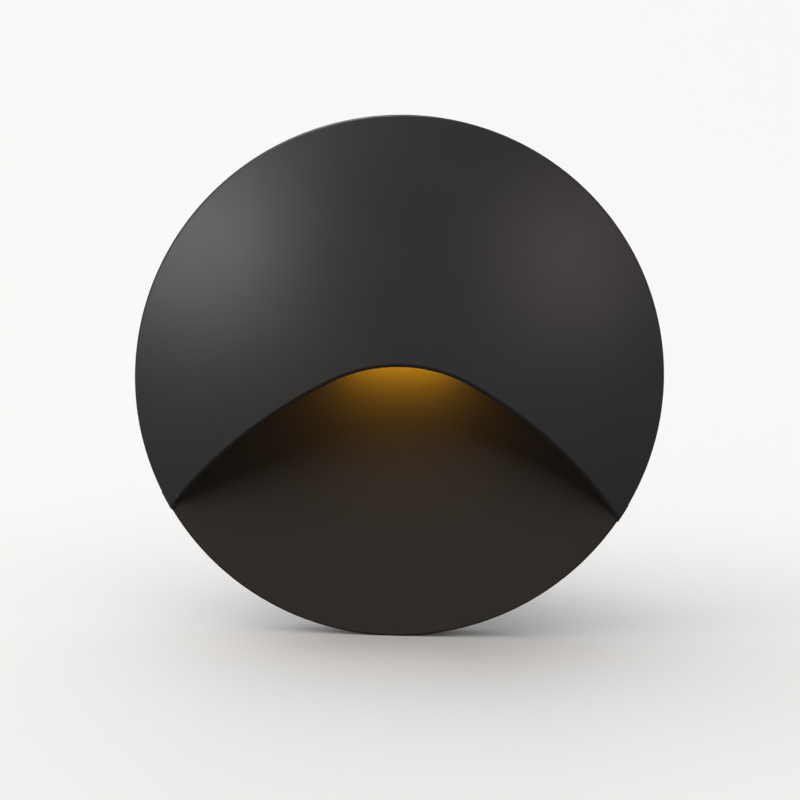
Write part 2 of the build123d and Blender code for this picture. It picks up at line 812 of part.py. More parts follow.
def terminal_parts():
    """Push-in terminal block with a wire hole and a sprung release button for each pole."""
    parts = {}
    rear = cover_front_y - terminal_cover_gap
    wide = terminal_width / 2
    body = block(-wide, wide, board_rear_y, rear, terminal_low, terminal_high)
    half = button_size / 2
    front = rear - button_sink
    for index in range(terminal_poles):
        x = (index - (terminal_poles - 1) / 2) * terminal_pitch
        hole = half + button_play
        floor = front - button_travel - button_floor
        body -= block(x - hole, x + hole, floor, rear, button_z - hole, button_z + hole)
        body -= disc(wire_hole_radius, rear - wire_hole_depth, rear, x, wire_hole_z)
        button = block(x - half, x + half, front, rear + button_stand, button_z - half, button_z + half)
        parts[f"release_button_{index + 1}"] = button
    parts["terminal_block"] = body
    return parts


def dial_x(index):
    """Place of a setting dial along X."""
    return (index - (len(dial_names) - 1) / 2) * dial_pitch


def dial_parts():
    """Trimmers on the driver board and the slotted dials that turn them through the rear cover."""
    parts = {}
    top = board_rear_y + trimmer_height
    rear = cover_rear_y - dial_sink
    half = trimmer_size / 2
    floor = top - trimmer_bore_depth
    for index, name in enumerate(dial_names):
        x = dial_x(index)
        body = block(x - half, x + half, board_rear_y, top, dial_z - half, dial_z + half)
        body -= disc(dial_shaft_radius + dial_play, floor, top, x, dial_z)
        dial = disc(dial_shaft_radius, floor + dial_end_play, rear - dial_head, x, dial_z)
        dial += disc(dial_head_radius, rear - dial_head, rear, x, dial_z)
        slot = dial_slot_width / 2
        reach = dial_head_radius
        dial -= block(x - reach, x + reach, rear - dial_slot_depth, rear, dial_z - slot, dial_z + slot)
        parts[f"trimmer_{name}"] = body
        parts[f"dial_{name}"] = dial
    return parts


def hinge_place():
    """Height and depth of the terminal door's hinge line."""
    return door_hatch_high + hinge_drop, cover_rear_y + door_gap + hinge_radius


def rear_cover():
    """Round plate that closes the can, with the terminal hatch, hinge ears, dial holes and gland hole."""
    cover = disc(can_radius, cover_front_y, cover_rear_y)
    cover = fillet(cover.edges().group_by(Axis.Y)[-1], cover_round)
    half = door_hatch_width / 2
    cover -= block(-half, half, cover_front_y, cover_rear_y, door_hatch_low, door_hatch_high)
    for x, z in cover_screws:
        cover -= disc(cover_screw_radius + screw_play, cover_front_y, cover_rear_y, x, z)
    for index in range(len(dial_names)):
        cover -= disc(dial_head_radius + dial_play, cover_front_y, cover_rear_y, dial_x(index), dial_z)
    cover -= disc(gland_thread_radius + gland_play, cover_front_y, cover_rear_y, 0.0, gland_z)
    hinge_z, hinge_y = hinge_place()
    inner = hinge_knuckle_half + hinge_side_play
    outer = inner + hinge_ear_width
    for low, high in ((-outer, -inner), (inner, outer)):
        ear = rod_x(hinge_radius, low, high, hinge_y, hinge_z)
        ear += block(low, high, cover_rear_y, hinge_y, hinge_z - hinge_radius, hinge_z + hinge_radius)
        cover += ear
        cover -= rod_x(hinge_pin_radius + hinge_bore_play, low, high, hinge_y, hinge_z)
    return cover


def terminal_door():
    """Hinged flap over the terminal hatch, with a knuckle between the cover's ears and a finger lip."""
    hinge_z, hinge_y = hinge_place()
    half = door_hatch_width / 2 + door_overlap
    y0 = cover_rear_y + door_gap
    y1 = y0 + door_thickness
    low = door_hatch_low - door_overlap
    high = hinge_z - hinge_radius - hinge_clear
    knuckle = hinge_knuckle_half
    door = block(-half, half, y0, y1, low, high)
    door = fillet(door.edges().filter_by(Axis.Y).group_by(Axis.Z)[0], door_round)
    door += block(-knuckle, knuckle, y0, y1, high, hinge_z)
    door += rod_x(hinge_radius, -knuckle, knuckle, hinge_y, hinge_z)
    door -= rod_x(hinge_pin_radius + hinge_bore_play, -knuckle, knuckle, hinge_y, hinge_z)
    return door + block(-door_lip_half, door_lip_half, y1, y1 + door_lip, low, low + door_lip_height)


def door_pin():
    """Steel pin of the terminal door's hinge."""
    hinge_z, hinge_y = hinge_place()
    reach = hinge_knuckle_half + hinge_side_play + hinge_ear_width
    return rod_x(hinge_pin_radius, -reach, reach, hinge_y, hinge_z)


def cover_fasteners():
    """Flat gasket between can and rear cover, and the cover's screws."""
    parts = {}
    outer = can_radius - cover_gasket_margin
    inner = can_bore + cover_gasket_margin
    gasket = disc(outer, can_rear_y, cover_front_y) - disc(inner, can_rear_y, cover_front_y)
    parts["cover_gasket"] = gasket
    screws = []
    for x, z in cover_screws:
        screw = disc(cover_screw_radius, can_rear_y - cover_screw_bite + screw_play, cover_rear_y, x, z)
        head_rear = cover_rear_y + cover_screw_head
        screws.append(screw + disc(cover_screw_head_radius, cover_rear_y, head_rear, x, z))
    parts["cover_screws"] = Compound(children=screws)
    return parts


def gland_parts():
    """Cable gland through the rear cover: body, locknut inside, rubber seal and dome cap outside."""
    hex_rear = cover_rear_y + gland_hex
    spigot_rear = hex_rear + gland_spigot
    nut_front = cover_front_y - gland_locknut
    tail_front = nut_front - gland_tail
    body = disc(gland_thread_radius, tail_front, spigot_rear, 0.0, gland_z)
    body += hexagon(gland_hex_radius, cover_rear_y, hex_rear, gland_z)
    body -= disc(gland_bore_radius, tail_front, spigot_rear, 0.0, gland_z)
    nut = hexagon(gland_hex_radius, nut_front, cover_front_y, gland_z)
    nut -= disc(gland_thread_radius + gland_play, nut_front, cover_front_y, 0.0, gland_z)
    cap_front = hex_rear + gland_cap_gap
    cap_rear = cap_front + gland_cap_length
    end_front = cap_rear - gland_cap_end
    cap = disc(gland_cap_radius, cap_front, cap_rear, 0.0, gland_z)
    cap -= disc(gland_thread_radius + gland_play, cap_front, end_front, 0.0, gland_z)
    cap -= disc(gland_bore_radius, end_front, cap_rear, 0.0, gland_z)
    seal = disc(gland_seal_radius, spigot_rear, end_front, 0.0, gland_z)
    seal -= disc(gland_seal_bore, spigot_rear, end_front, 0.0, gland_z)
    return {"gland_body": body, "gland_locknut": nut, "gland_cap": cap, "gland_seal": seal}


def all_parts():
    """Every piece of the light, by name."""
    parts = {
        "hood_cover": hood_cover(),
        "lower_face": lower_face(),
        "housing": housing(),
        "wall_gasket": wall_gasket(),
        "driver_board": driver_board(),
        "rear_cover": rear_cover(),
        "terminal_door": terminal_door(),
        "door_pin": door_pin(),
    }
    groups = (
        window_parts, light_strip, face_screws, clips, driver_parts,
        sensor_parts, terminal_parts, dial_parts, cover_fasteners, gland_parts,
    )
    for group in groups:
        parts.update(group())
    return parts


os.makedirs("parts", exist_ok=True)
for node, shape in all_parts().items():
    export_step(shape, f"parts/{node}.step")
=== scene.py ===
import math

import bpy
from mathutils import Matrix, Vector


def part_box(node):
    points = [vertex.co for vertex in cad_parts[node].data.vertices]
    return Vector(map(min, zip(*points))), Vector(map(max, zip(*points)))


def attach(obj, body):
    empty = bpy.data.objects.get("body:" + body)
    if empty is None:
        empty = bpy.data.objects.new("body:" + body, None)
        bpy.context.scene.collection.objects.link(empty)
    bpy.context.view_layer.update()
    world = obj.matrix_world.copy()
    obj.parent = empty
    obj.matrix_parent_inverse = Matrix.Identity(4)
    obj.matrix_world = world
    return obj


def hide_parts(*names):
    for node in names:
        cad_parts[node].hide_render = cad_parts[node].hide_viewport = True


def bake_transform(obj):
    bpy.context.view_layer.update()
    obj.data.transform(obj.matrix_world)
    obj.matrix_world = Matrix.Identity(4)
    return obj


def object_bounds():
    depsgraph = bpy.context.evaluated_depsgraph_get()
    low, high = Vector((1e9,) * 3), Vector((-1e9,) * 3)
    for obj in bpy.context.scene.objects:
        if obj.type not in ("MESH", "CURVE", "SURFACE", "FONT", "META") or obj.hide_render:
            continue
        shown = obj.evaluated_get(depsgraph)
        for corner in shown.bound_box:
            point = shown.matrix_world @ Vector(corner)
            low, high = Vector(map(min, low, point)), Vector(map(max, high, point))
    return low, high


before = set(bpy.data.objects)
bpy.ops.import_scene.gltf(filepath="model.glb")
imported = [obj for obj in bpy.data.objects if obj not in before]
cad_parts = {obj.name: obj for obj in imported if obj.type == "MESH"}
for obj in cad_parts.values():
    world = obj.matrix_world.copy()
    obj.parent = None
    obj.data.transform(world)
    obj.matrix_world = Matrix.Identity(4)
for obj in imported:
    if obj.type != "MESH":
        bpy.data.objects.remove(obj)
cad_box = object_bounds()


# Housing: the moulded body that carries everything else, with the flange behind the face, the collar that fits
# the wall's cut-out and the can for the electronics. Black glass-filled nylon, injection moulded in one shot.
def add_node(tree, kind, inputs=(), **settings):
    """A node of a shader tree, with its settings and with values or links on its inputs."""
    made = tree.nodes.new("ShaderNode" + kind)
    for name, value in settings.items():
        setattr(made, name, value)
    for name, value in dict(inputs).items():
        if isinstance(value, bpy.types.NodeSocket):
            tree.links.new(value, made.inputs[name])
        else:
            made.inputs[name].default_value = value
    return made


def object_place(tree):
    """A point's place on the object."""
    return add_node(tree, "TexCoord").outputs["Object"]


def noise_node(tree, place, scale, detail, roughness=0.5):
    """Cloudy noise, from 0 to 1."""
    inputs = {"Vector": place, "Scale": scale, "Detail": detail, "Roughness": roughness}
    return add_node(tree, "TexNoise", inputs).outputs["Fac"]


def math_node(tree, operation, *values):
    """The result of an operation on values or links."""
    return add_node(tree, "Math", dict(enumerate(values)), operation=operation).outputs[0]


def scaled(tree, value, gain, offset):
    """A value times a gain, plus an offset."""
    return math_node(tree, "MULTIPLY_ADD", value, gain, offset)


def swung(tree, noise, swing):
    """Noise made to swing about zero, by half the swing each way."""
    return scaled(tree, noise, swing, -swing / 2)


def tinted(tree, colour, value):
    """A colour made lighter or darker by a value."""
    return add_node(tree, "HueSaturation", {"Color": colour, "Value": value}).outputs["Color"]


def new_group(name, **inputs):
    """An empty node group with named inputs, which gives a skin's colour, roughness and height."""
    group = bpy.data.node_groups.new(name, "ShaderNodeTree")
    for label, kind in inputs.items():
        group.interface.new_socket(label, in_out="INPUT", socket_type="NodeSocket" + kind)
    for label, kind in (("Colour", "Color"), ("Roughness", "Float"), ("Height", "Float")):
        group.interface.new_socket(label, in_out="OUTPUT", socket_type="NodeSocket" + kind)
    return group, group.nodes.new("NodeGroupInput").outputs


def close_group(group, colour, roughness, height):
    """Links a node group's three results."""
    results = group.nodes.new("NodeGroupOutput").inputs
    for label, source in (("Colour", colour), ("Roughness", roughness), ("Height", height)):
        group.links.new(source, results[label])


moulded_skin, given = new_group(
    "moulded skin", Colour="Color", Drift="Float", Roughness="Float", Patches="Float", Grain="Float",
)
place = object_place(moulded_skin)
cloud = swung(moulded_skin, noise_node(moulded_skin, place, scale=70.0, detail=4.0), 1.0)
grain = noise_node(moulded_skin, place, scale=given["Grain"], detail=3.0, roughness=0.6)
tint = tinted(moulded_skin, given["Colour"], scaled(moulded_skin, cloud, given["Drift"], 1.0))
gloss = scaled(moulded_skin, cloud, given["Patches"], swung(moulded_skin, grain, 0.1))
close_group(moulded_skin, tint, math_node(moulded_skin, "ADD", gloss, given["Roughness"]), grain)


def new_finish(name, **sockets):
    """A material with plain values on its shader's own sockets, and its node tree."""
    material = bpy.data.materials.new(name)
    material.use_nodes = True
    shader = material.node_tree.nodes["Principled BSDF"]
    for socket, value in sockets.items():
        shader.inputs[socket.replace("_", " ")].default_value = value
    return material, material.node_tree


def link_shader(tree, **sources):
    """Links varying values to the shader's own sockets."""
    shader = tree.nodes["Principled BSDF"]
    for socket, source in sources.items():
        tree.links.new(source, shader.inputs[socket.replace("_", " ")])


def relief(tree, height, depth):
    """The normals of a bump of some depth."""
    return add_node(tree, "Bump", {"Height": height, "Distance": depth}).outputs["Normal"]


def skinned(name, group, values, depth, **sockets):
    """A material that takes its colour, roughness and relief from a node group."""
    material, tree = new_finish(name, **sockets)
    skin = add_node(tree, "Group", values, node_tree=group).outputs
    normal = relief(tree, skin["Height"], depth)
    link_shader(tree, Base_Color=skin["Colour"], Roughness=skin["Roughness"], Normal=normal)
    return material


def moulded(name, colour, roughness, grain=2600.0, depth=0.00003, drift=0.3, patches=0.15, **sockets):
    """Moulded plastic: the colour drifts a little, the gloss comes in patches and the skin has a fine grain."""
    values = {"Colour": (*colour, 1.0), "Drift": drift, "Roughness": roughness, "Patches": patches, "Grain": grain}
    return skinned(name, moulded_skin, values, depth, **sockets)


def dress(material, *names):
    """Gives CAD nodes their finish."""
    for name in names:
        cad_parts[name].material_slots[0].material = material


dress(moulded("housing nylon", (0.021, 0.021, 0.022), 0.58, grain=1900.0, depth=0.00006), "housing")


# Sensor board: a small circuit board on four melted posts behind the face, with the motion sensor's metal can
# on its front and a pin strip that links it to the driver board. Green lacquered glass-fibre with copper tracks.
def ranged(tree, value, start, end, low=0.0, high=1.0, **settings):
    """Goes from low to high while a value goes from start to end."""
    inputs = {"Value": value, "From Min": start, "From Max": end, "To Min": low, "To Max": high}
    return add_node(tree, "MapRange", inputs, **settings).outputs[0]


def mixed(tree, share, first, second, kind):
    """Two colours (RGBA) or two values (FLOAT), mixed by a share."""
    first_socket, second_socket, result = {"RGBA": (6, 7, 2), "FLOAT": (2, 3, 0)}[kind]
    inputs = {0: share, first_socket: first, second_socket: second}
    return add_node(tree, "Mix", inputs, data_type=kind).outputs[result]


board_tracks, given = new_group("board tracks", Lacquer="Color", Track="Color", Spacing="Float")
place = object_place(board_tracks)
flat = add_node(board_tracks, "Mapping", {"Vector": place, "Rotation": (math.pi / 2, 0.0, 0.0)}).outputs[0]
cell_inputs = {"Vector": flat, "Scale": given["Spacing"], "Randomness": 0.75}
nearest, second_nearest = [
    add_node(board_tracks, "TexVoronoi", cell_inputs, distance="MANHATTAN", feature=feature,
             voronoi_dimensions="2D").outputs["Distance"]
    for feature in ("F1", "F2")
]
track = ranged(board_tracks, math_node(board_tracks, "SUBTRACT", second_nearest, nearest), 0.2, 0.14)
round_pad = ranged(board_tracks, nearest, 0.16, 0.12)
copper = math_node(board_tracks, "MAXIMUM", track, round_pad)
weave = noise_node(board_tracks, place, scale=900.0, detail=2.0)
blend = mixed(board_tracks, copper, given["Lacquer"], given["Track"], "RGBA")
tint = tinted(board_tracks, blend, scaled(board_tracks, weave, 0.3, 0.85))
close_group(board_tracks, tint, scaled(board_tracks, weave, 0.2, 0.22), copper)


def lacquered(name, lacquer, track, spacing):
    """Circuit board: lacquer over raised copper tracks and round pads."""
    values = {"Lacquer": (*lacquer, 1.0), "Track": (*track, 1.0), "Spacing": spacing}
    return skinned(name, board_tracks, values, depth=0.00004)


worked_metal, given = new_group("worked metal", Colour="Color", Roughness="Float", Stretch="Vector")
place = object_place(worked_metal)
drawn = add_node(worked_metal, "Mapping", {"Vector": place, "Scale": given["Stretch"]}).outputs[0]
streak = noise_node(worked_metal, drawn, scale=1000.0, detail=3.0)
stain = noise_node(worked_metal, place, scale=160.0, detail=5.0)
tint = tinted(worked_metal, given["Colour"], scaled(worked_metal, stain, 0.35, 0.8))
wear = math_node(worked_metal, "ADD", swung(worked_metal, streak, 0.3), swung(worked_metal, stain, 0.25))
close_group(worked_metal, tint, math_node(worked_metal, "ADD", wear, given["Roughness"]), streak)


def metal(name, colour, roughness, stretch):
    """Rolled, drawn or plated metal, with streaks along the way it was worked and faint stains."""
    values = {"Colour": (*colour, 1.0), "Roughness": roughness, "Stretch": stretch}
    return skinned(name, worked_metal, values, depth=0.000008, Metallic=1.0)


green_board = lacquered("green board", (0.012, 0.085, 0.035), (0.03, 0.17, 0.06), 420.0)
dress(green_board, "sensor_board")
dress(metal("tinned can", (0.66, 0.66, 0.64), 0.34, (1.0, 1.0, 0.1)), "sensor_shield")
dress(moulded("pin strip nylon", (0.012, 0.012, 0.013), 0.45), "board_link")


# Driver board: a round circuit board on the can's ledge with the parts that feed the light strip: ferrite core
# with its taped winding, two capacitors in shrunk sleeves, a ceramic fuse and a rectifier, all soldered in place.
dress(green_board, "driver_board")
dress(moulded("pressed ferrite", (0.045, 0.046, 0.05), 0.62, grain=1400.0, depth=0.00008), "transformer_core")
# the wire's turns show through the tape as ridges round the coil
winding, tree = new_finish("taped winding", Coat_Weight=0.25, Coat_Roughness=0.2)
wave_inputs = {"Vector": object_place(tree), "Scale": 420.0, "Distortion": 0.6, "Detail": 1.0}
ridges = add_node(tree, "TexWave", wave_inputs, bands_direction="Y").outputs["Fac"]
link_shader(
    tree,
    Base_Color=tinted(tree, (0.62, 0.44, 0.06, 1.0), ranged(tree, ridges, 0.0, 1.0, low=0.8, high=1.1)),
    Roughness=ranged(tree, ridges, 0.0, 1.0, low=0.45, high=0.3),
    Normal=relief(tree, ridges, 0.0001),
)
dress(winding, "transformer_winding")
dress(moulded("shrunk sleeve", (0.015, 0.024, 0.075), 0.3, grain=900.0), "input_capacitor", "output_capacitor")
dress(moulded("fuse ceramic", (0.72, 0.69, 0.62), 0.5, grain=1500.0), "fuse")
dress(moulded("rectifier epoxy", (0.011, 0.011, 0.012), 0.4, grain=1800.0), "rectifier")


# Terminal block: the push-in connector for the mains wires, with a wire hole and a sprung release button for
# each of its three poles. Grey nylon block, orange buttons that slide in square pockets.
dress(moulded("terminal nylon", (0.4, 0.41, 0.42), 0.5, drift=0.12), "terminal_block")
button_orange = moulded("button orange", (0.78, 0.19, 0.015), 0.36, drift=0.12)
dress(button_orange, "release_button_1", "release_button_2", "release_button_3")


# Setting dials: white slotted dials that turn blue trimmers on the driver board, for the time the light stays
# on, the daylight it starts at and the sensor's range. Both are moulded, the dial pressed into the trimmer.
trimmer_blue = moulded("trimmer blue", (0.02, 0.09, 0.32), 0.4, drift=0.15)
dress(trimmer_blue, "trimmer_time", "trimmer_light", "trimmer_range")
dress(moulded("dial white", (0.76, 0.75, 0.71), 0.38, drift=0.1), "dial_time", "dial_light", "dial_range")


# Rear cover: the round plate that closes the can, moulded in the housing's black nylon, with the dial holes, the
# gland hole and the hinge ears of the terminal door. A rubber ring seals it and three screws hold it.
dress(moulded("cover nylon", (0.024, 0.024, 0.025), 0.54, grain=2100.0, depth=0.00005), "rear_cover")
dress(moulded("door nylon", (0.03, 0.03, 0.031), 0.5, grain=2300.0, depth=0.00004), "terminal_door")
bright_pin = metal("bright pin", (0.6, 0.6, 0.61), 0.28, (0.08, 1.0, 1.0))
dress(bright_pin, "door_pin")


def weld(piece):
    """Merges a piece's doubled points and turns its faces outward."""
    bpy.ops.object.select_all(action="DESELECT")
    piece.select_set(True)
    bpy.context.view_layer.objects.active = piece
    bpy.ops.object.mode_set(mode="EDIT")
    bpy.ops.mesh.select_all(action="SELECT")
    bpy.ops.mesh.remove_doubles(threshold=0.000002)
    bpy.ops.mesh.normals_make_consistent(inside=False)
    bpy.ops.object.mode_set(mode="OBJECT")


def turned(name, outline, z, steps):
    """Ring turned about an axis along Y, from a closed outline of radius and depth."""
    bpy.ops.object.select_all(action="DESELECT")
    bpy.ops.mesh.primitive_circle_add(vertices=len(outline), radius=1.0, location=(0.0, 0.0, 0.0))
    piece = bpy.context.object
    piece.name = name
    for vertex, (radius, depth) in zip(piece.data.vertices, outline):
        vertex.co = (radius, depth, z)
    bpy.ops.object.mode_set(mode="EDIT")
    bpy.ops.mesh.select_all(action="SELECT")
    bpy.ops.mesh.spin(steps=steps, angle=2 * math.pi, center=(0.0, 0.0, z), axis=(0.0, 1.0, 0.0))
    bpy.ops.object.mode_set(mode="OBJECT")
    weld(piece)
    return piece


def apply_last(piece):
    """Applies a piece's newest modifier."""
    bpy.context.view_layer.objects.active = piece
    bpy.ops.object.modifier_apply(modifier=piece.modifiers[-1].name)


def round_edges(piece, width, segments=3, angle=35.0):
    """Rounds a piece's sharp edges and shades it smooth."""
    edge = piece.modifiers.new("rounding", "BEVEL")
    edge.width = width
    edge.segments = segments
    edge.limit_method = "ANGLE"
    edge.angle_limit = math.radians(angle)
    apply_last(piece)
    bpy.ops.object.select_all(action="DESELECT")
    piece.select_set(True)
    bpy.ops.object.shade_smooth_by_angle(angle=math.radians(angle))


def fit(piece, material, body, slot, *nodes):
    """Gives a new piece its finish and its body, and hides the CAD nodes that it stands for. Its slot is not used.
    """
    piece.data.materials.clear()
    piece.data.materials.append(material)
    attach(piece, body)
    if nodes:
        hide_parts(*nodes)


def copied(piece, name, placing):
    """Another of a modelled piece, with its own mesh, brought to its place and kept right side out."""
    twin = bpy.data.objects.new(name, piece.data.copy())
    bpy.context.scene.collection.objects.link(twin)
    twin.data.transform(placing)
    if placing.determinant() < 0.0:
        twin.data.flip_normals()
    return twin


seal_rubber = moulded("seal rubber", (0.018, 0.018, 0.018), 0.66, grain=1600.0, drift=0.5, patches=0.2)
low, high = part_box("cover_gasket")
seal_inner, bead = 0.0258, 0.00028
outline = [
    (seal_inner, low.y), (high.x - bead, low.y), (high.x, low.y + bead), (high.x, high.y - bead),
    (high.x - bead, high.y), (seal_inner, high.y),
]
cover_seal = turned("cover_seal", outline, 0.0, 144)
round_edges(cover_seal, 0.00008)
fit(cover_seal, seal_rubber, "light_body", "seal_rubber", "cover_gasket")

screw_zinc = metal("screw zinc", (0.58, 0.59, 0.6), 0.32, (1.0, 0.3, 1.0))
low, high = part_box("cover_screws")
screw_ring, screw_angles = 0.0236, (90.0, 200.0, 340.0)
axis, tip, tip_rise, shank = 0.00001, 0.0007, 0.0008, 0.0011
head, head_height, head_side = 0.0019, 0.0014, 0.0007
head_dome = ((0.00165, 0.00025), (0.0011, 0.00005), (axis, 0.0))
recess_turn, recess_size, smooth_angle = 0.4, (0.0021, 0.0014, 0.00042), 35.0
head_front = high.y - head_height
outline = [
    (axis, low.y), (tip, low.y), (shank, low.y + tip_rise), (shank, head_front), (head, head_front),
    (head, head_front + head_side), *[(radius, high.y - drop) for radius, drop in head_dome],
]
screw = turned("cover_screw_1", outline, screw_ring, 40)
round_edges(screw, 0.00005, segments=2)
for turn in (recess_turn, recess_turn + math.pi / 2):
    bpy.ops.object.select_all(action="DESELECT")
    bpy.ops.mesh.primitive_cube_add(size=1.0, location=(0.0, high.y, screw_ring), rotation=(0.0, turn, 0.0),
                                    scale=recess_size)
    blade = bpy.context.object
    recess = screw.modifiers.new("recess", "BOOLEAN")
    recess.operation = "DIFFERENCE"
    recess.object = blade
    apply_last(screw)
    bpy.data.objects.remove(blade)
weld(screw)
bpy.ops.object.shade_smooth_by_angle(angle=math.radians(smooth_angle))
screws = [screw]
for number in (2, 3):
    turn = math.radians(screw_angles[0] - screw_angles[number - 1])
    screws.append(copied(screw, f"cover_screw_{number}", Matrix.Rotation(turn, 4, "Y")))
for screw in screws:
    fit(screw, screw_zinc, "light_body", "zinc_steel", "cover_screws")

scale_print = moulded("scale print", (0.62, 0.62, 0.6), 0.5, drift=0.15)
cover_face, mark_lift = 0.0464, 0.00004
mark_start, mark_length, mark_width, mark_height = 0.00255, 0.0011, 0.00026, 0.00012
mark_count, first_mark, mark_pitch, short_mark = 7, -135.0, 45.0, 0.65
bpy.ops.object.select_all(action="DESELECT")
bpy.ops.mesh.primitive_cube_add(size=1.0, location=(0.0, 0.0, mark_length / 2),
                                scale=(mark_width, mark_height, mark_length))
bpy.ops.object.transform_apply(location=True, rotation=False, scale=True)
mark = bpy.context.object
round_edges(mark, 0.00004, segments=2)
for name in ("time", "light", "range"):
    low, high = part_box("dial_" + name)
    centre = (low + high) / 2
    for step in range(mark_count):
        placing = (Matrix.Translation((centre.x, cover_face + mark_lift, centre.z))
                   @ Matrix.Rotation(math.radians(first_mark + mark_pitch * step), 4, "Y")
                   @ Matrix.Translation((0.0, 0.0, mark_start))
                   @ Matrix.Diagonal((1.0, 1.0, short_mark if step % 3 else 1.0, 1.0)))
        fit(copied(mark, f"dial_{name}_mark_{step + 1}", placing), scale_print, "light_body", "dial_white")
bpy.data.objects.remove(mark)


# Cable gland: the threaded inlet for the mains cable, with its locknut inside the cover, a rubber ring that
# grips the cable and a smooth domed cap that squeezes the ring. Black nylon; no cable is shown in it.
gland_nylon = moulded("gland nylon", (0.017, 0.017, 0.018), 0.46, grain=2400.0)
dress(gland_nylon, "gland_body", "gland_locknut")
gland_z = -0.0164
low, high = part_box("gland_seal")
ring_bore, ring_waist, ring_outer = 0.0032, 0.00335, 0.0046
lead_in, shoulder, shoulder_depth = 0.0004, 0.0003, 0.0005
outline = [
    (ring_bore, low.y + lead_in), (ring_bore + lead_in, low.y), (ring_outer - shoulder, low.y),
    (ring_outer, low.y + shoulder_depth), (ring_outer, high.y - shoulder_depth), (ring_outer - shoulder, high.y),
    (ring_bore + lead_in, high.y), (ring_bore, high.y - lead_in), (ring_waist, (low.y + high.y) / 2),
]
gland_ring = turned("gland_ring", outline, gland_z, 64)
round_edges(gland_ring, 0.00012, angle=25.0)
fit(gland_ring, seal_rubber, "light_body", "seal_rubber", "gland_seal")

low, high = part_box("gland_cap")
thread_bore, cable_bore, end_wall = 0.0049, 0.0036, 0.0014
front_radius, side_radius, front_chamfer = 0.0057, 0.00585, 0.0003
dome = ((side_radius, 0.0029), (0.0057, 0.0022), (0.0053, 0.001), (0.0047, 0.0003), (0.0042, 0.0))
skin_thickness = 0.00033
outline = [
    (thread_bore, low.y), (front_radius, low.y), (side_radius, low.y + front_chamfer),
    *[(radius, high.y - drop) for radius, drop in dome],
    (cable_bore, high.y), (cable_bore, high.y - end_wall), (thread_bore, high.y - end_wall),
]
gland_nut = turned("gland_nut", outline, gland_z, 72)
# the whole cap gets an outer skin, and the turned one stays inside it
bpy.ops.object.mode_set(mode="EDIT")
bpy.ops.mesh.select_mode(type="FACE")
bpy.ops.mesh.extrude_region_shrink_fatten(TRANSFORM_OT_shrink_fatten={"value": skin_thickness})
bpy.ops.object.mode_set(mode="OBJECT")
round_edges(gland_nut, 0.00012, segments=2, angle=30.0)
fit(gland_nut, gland_nylon, "light_body", "body_plastic", "gland_cap")


# Light strip: a narrow white board on an aluminium bracket behind the hood, with three amber emitters and the
# daylight sensor on its underside. Two leads run back to the driver board; screws hold the bracket to the flange.
dress(lacquered("white board", (0.72, 0.72, 0.7), (0.62, 0.62, 0.6), 500.0), "led_board")
dress(metal("bracket aluminium", (0.74, 0.74, 0.75), 0.4, (0.1, 1.0, 1.0)), "led_bracket")
dress(screw_zinc, "bracket_screws", "hood_screws", "face_screws")
dress(moulded("lead red", (0.42, 0.016, 0.016), 0.42, drift=0.1), "led_lead_left")
dress(moulded("lead black", (0.016, 0.016, 0.016), 0.42, drift=0.1), "led_lead_right")
dress(moulded("sensor epoxy", (0.01, 0.01, 0.011), 0.2), "light_sensor")
amber, emitter_pitch = (1.0, 0.45, 0.03, 1.0), 0.007


def lit(name, colour, strength, spots):
    """Lit plastic, brighter over each emitter behind it."""
    material, tree = new_finish(name, Roughness=0.5, Emission_Strength=strength)
    place = object_place(tree)
    along = add_node(tree, "SeparateXYZ", {"Vector": place}).outputs["X"]
    wave = math_node(tree, "COSINE", math_node(tree, "MULTIPLY", along, 2 * math.pi / emitter_pitch))
    frost = noise_node(tree, place, scale=1500.0, detail=3.0)
    level = scaled(tree, frost, 0.1, scaled(tree, wave, spots, 1.0 - spots))
    link_shader(
        tree,
        Base_Color=tinted(tree, (*colour, 1.0), scaled(tree, frost, 0.2, 0.9)),
        Emission_Color=tinted(tree, amber, level),
        Normal=relief(tree, frost, 0.00003),
    )
    return material


dress(lit("emitter amber", (0.85, 0.55, 0.1), 6.0, 0.0), "led_chip_1", "led_chip_2", "led_chip_3")


# Light window: a curved strip of frosted plastic in the roof of the recess, lit from behind by the emitters.
# It sits in a thin rubber frame against the roof, and shines down over the lower face.
dress(lit("frosted window", (0.8, 0.72, 0.55), 2.0, 0.25), "light_window")


def merged_copy(node, name):
    """Copy of a CAD node's mesh with its triangles merged, to be finished as a piece of its own."""
    piece = bpy.data.objects.new(name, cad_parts[node].data.copy())
    bpy.context.scene.collection.objects.link(piece)
    bpy.ops.object.select_all(action="DESELECT")
    piece.select_set(True)
    bpy.context.view_layer.objects.active = piece
    bpy.ops.object.mode_set(mode="EDIT")
    bpy.ops.mesh.select_all(action="SELECT")
    bpy.ops.mesh.customdata_custom_splitnormals_clear()
    bpy.ops.mesh.remove_doubles(threshold=0.000005)
    bpy.ops.object.mode_set(mode="OBJECT")
    return piece


flat_angle = math.radians(1.0)
window_seal = merged_copy("window_gasket", "window_seal")
bpy.ops.object.mode_set(mode="EDIT")
bpy.ops.mesh.dissolve_limited(angle_limit=flat_angle)
bpy.ops.object.mode_set(mode="OBJECT")
round_edges(window_seal, 0.00008, segments=2, angle=50.0)
fit(window_seal, seal_rubber, "light_body", "seal_rubber", "window_gasket")


# Lower face and hood: the two shells of the front, moulded in anthracite plastic with a satin skin and screwed
# to the flange from behind. The hood's domed shell ends in a rolled lip over the recess.
shell_skin = {"grain": 3200.0, "depth": 0.000012, "drift": 0.12, "patches": 0.06}
# painted light: both shells are the same plastic, but the lower face's copy is painted lighter and warmer than the
# hood's, each matched to how its shell is lit
face_satin = moulded("face satin", (0.024, 0.0214, 0.0192), 0.44, Specular_IOR_Level=0.04, **shell_skin)
hood_satin = moulded("hood satin", (0.0074, 0.0068, 0.0067), 0.36, Specular_IOR_Level=0.2, **shell_skin)
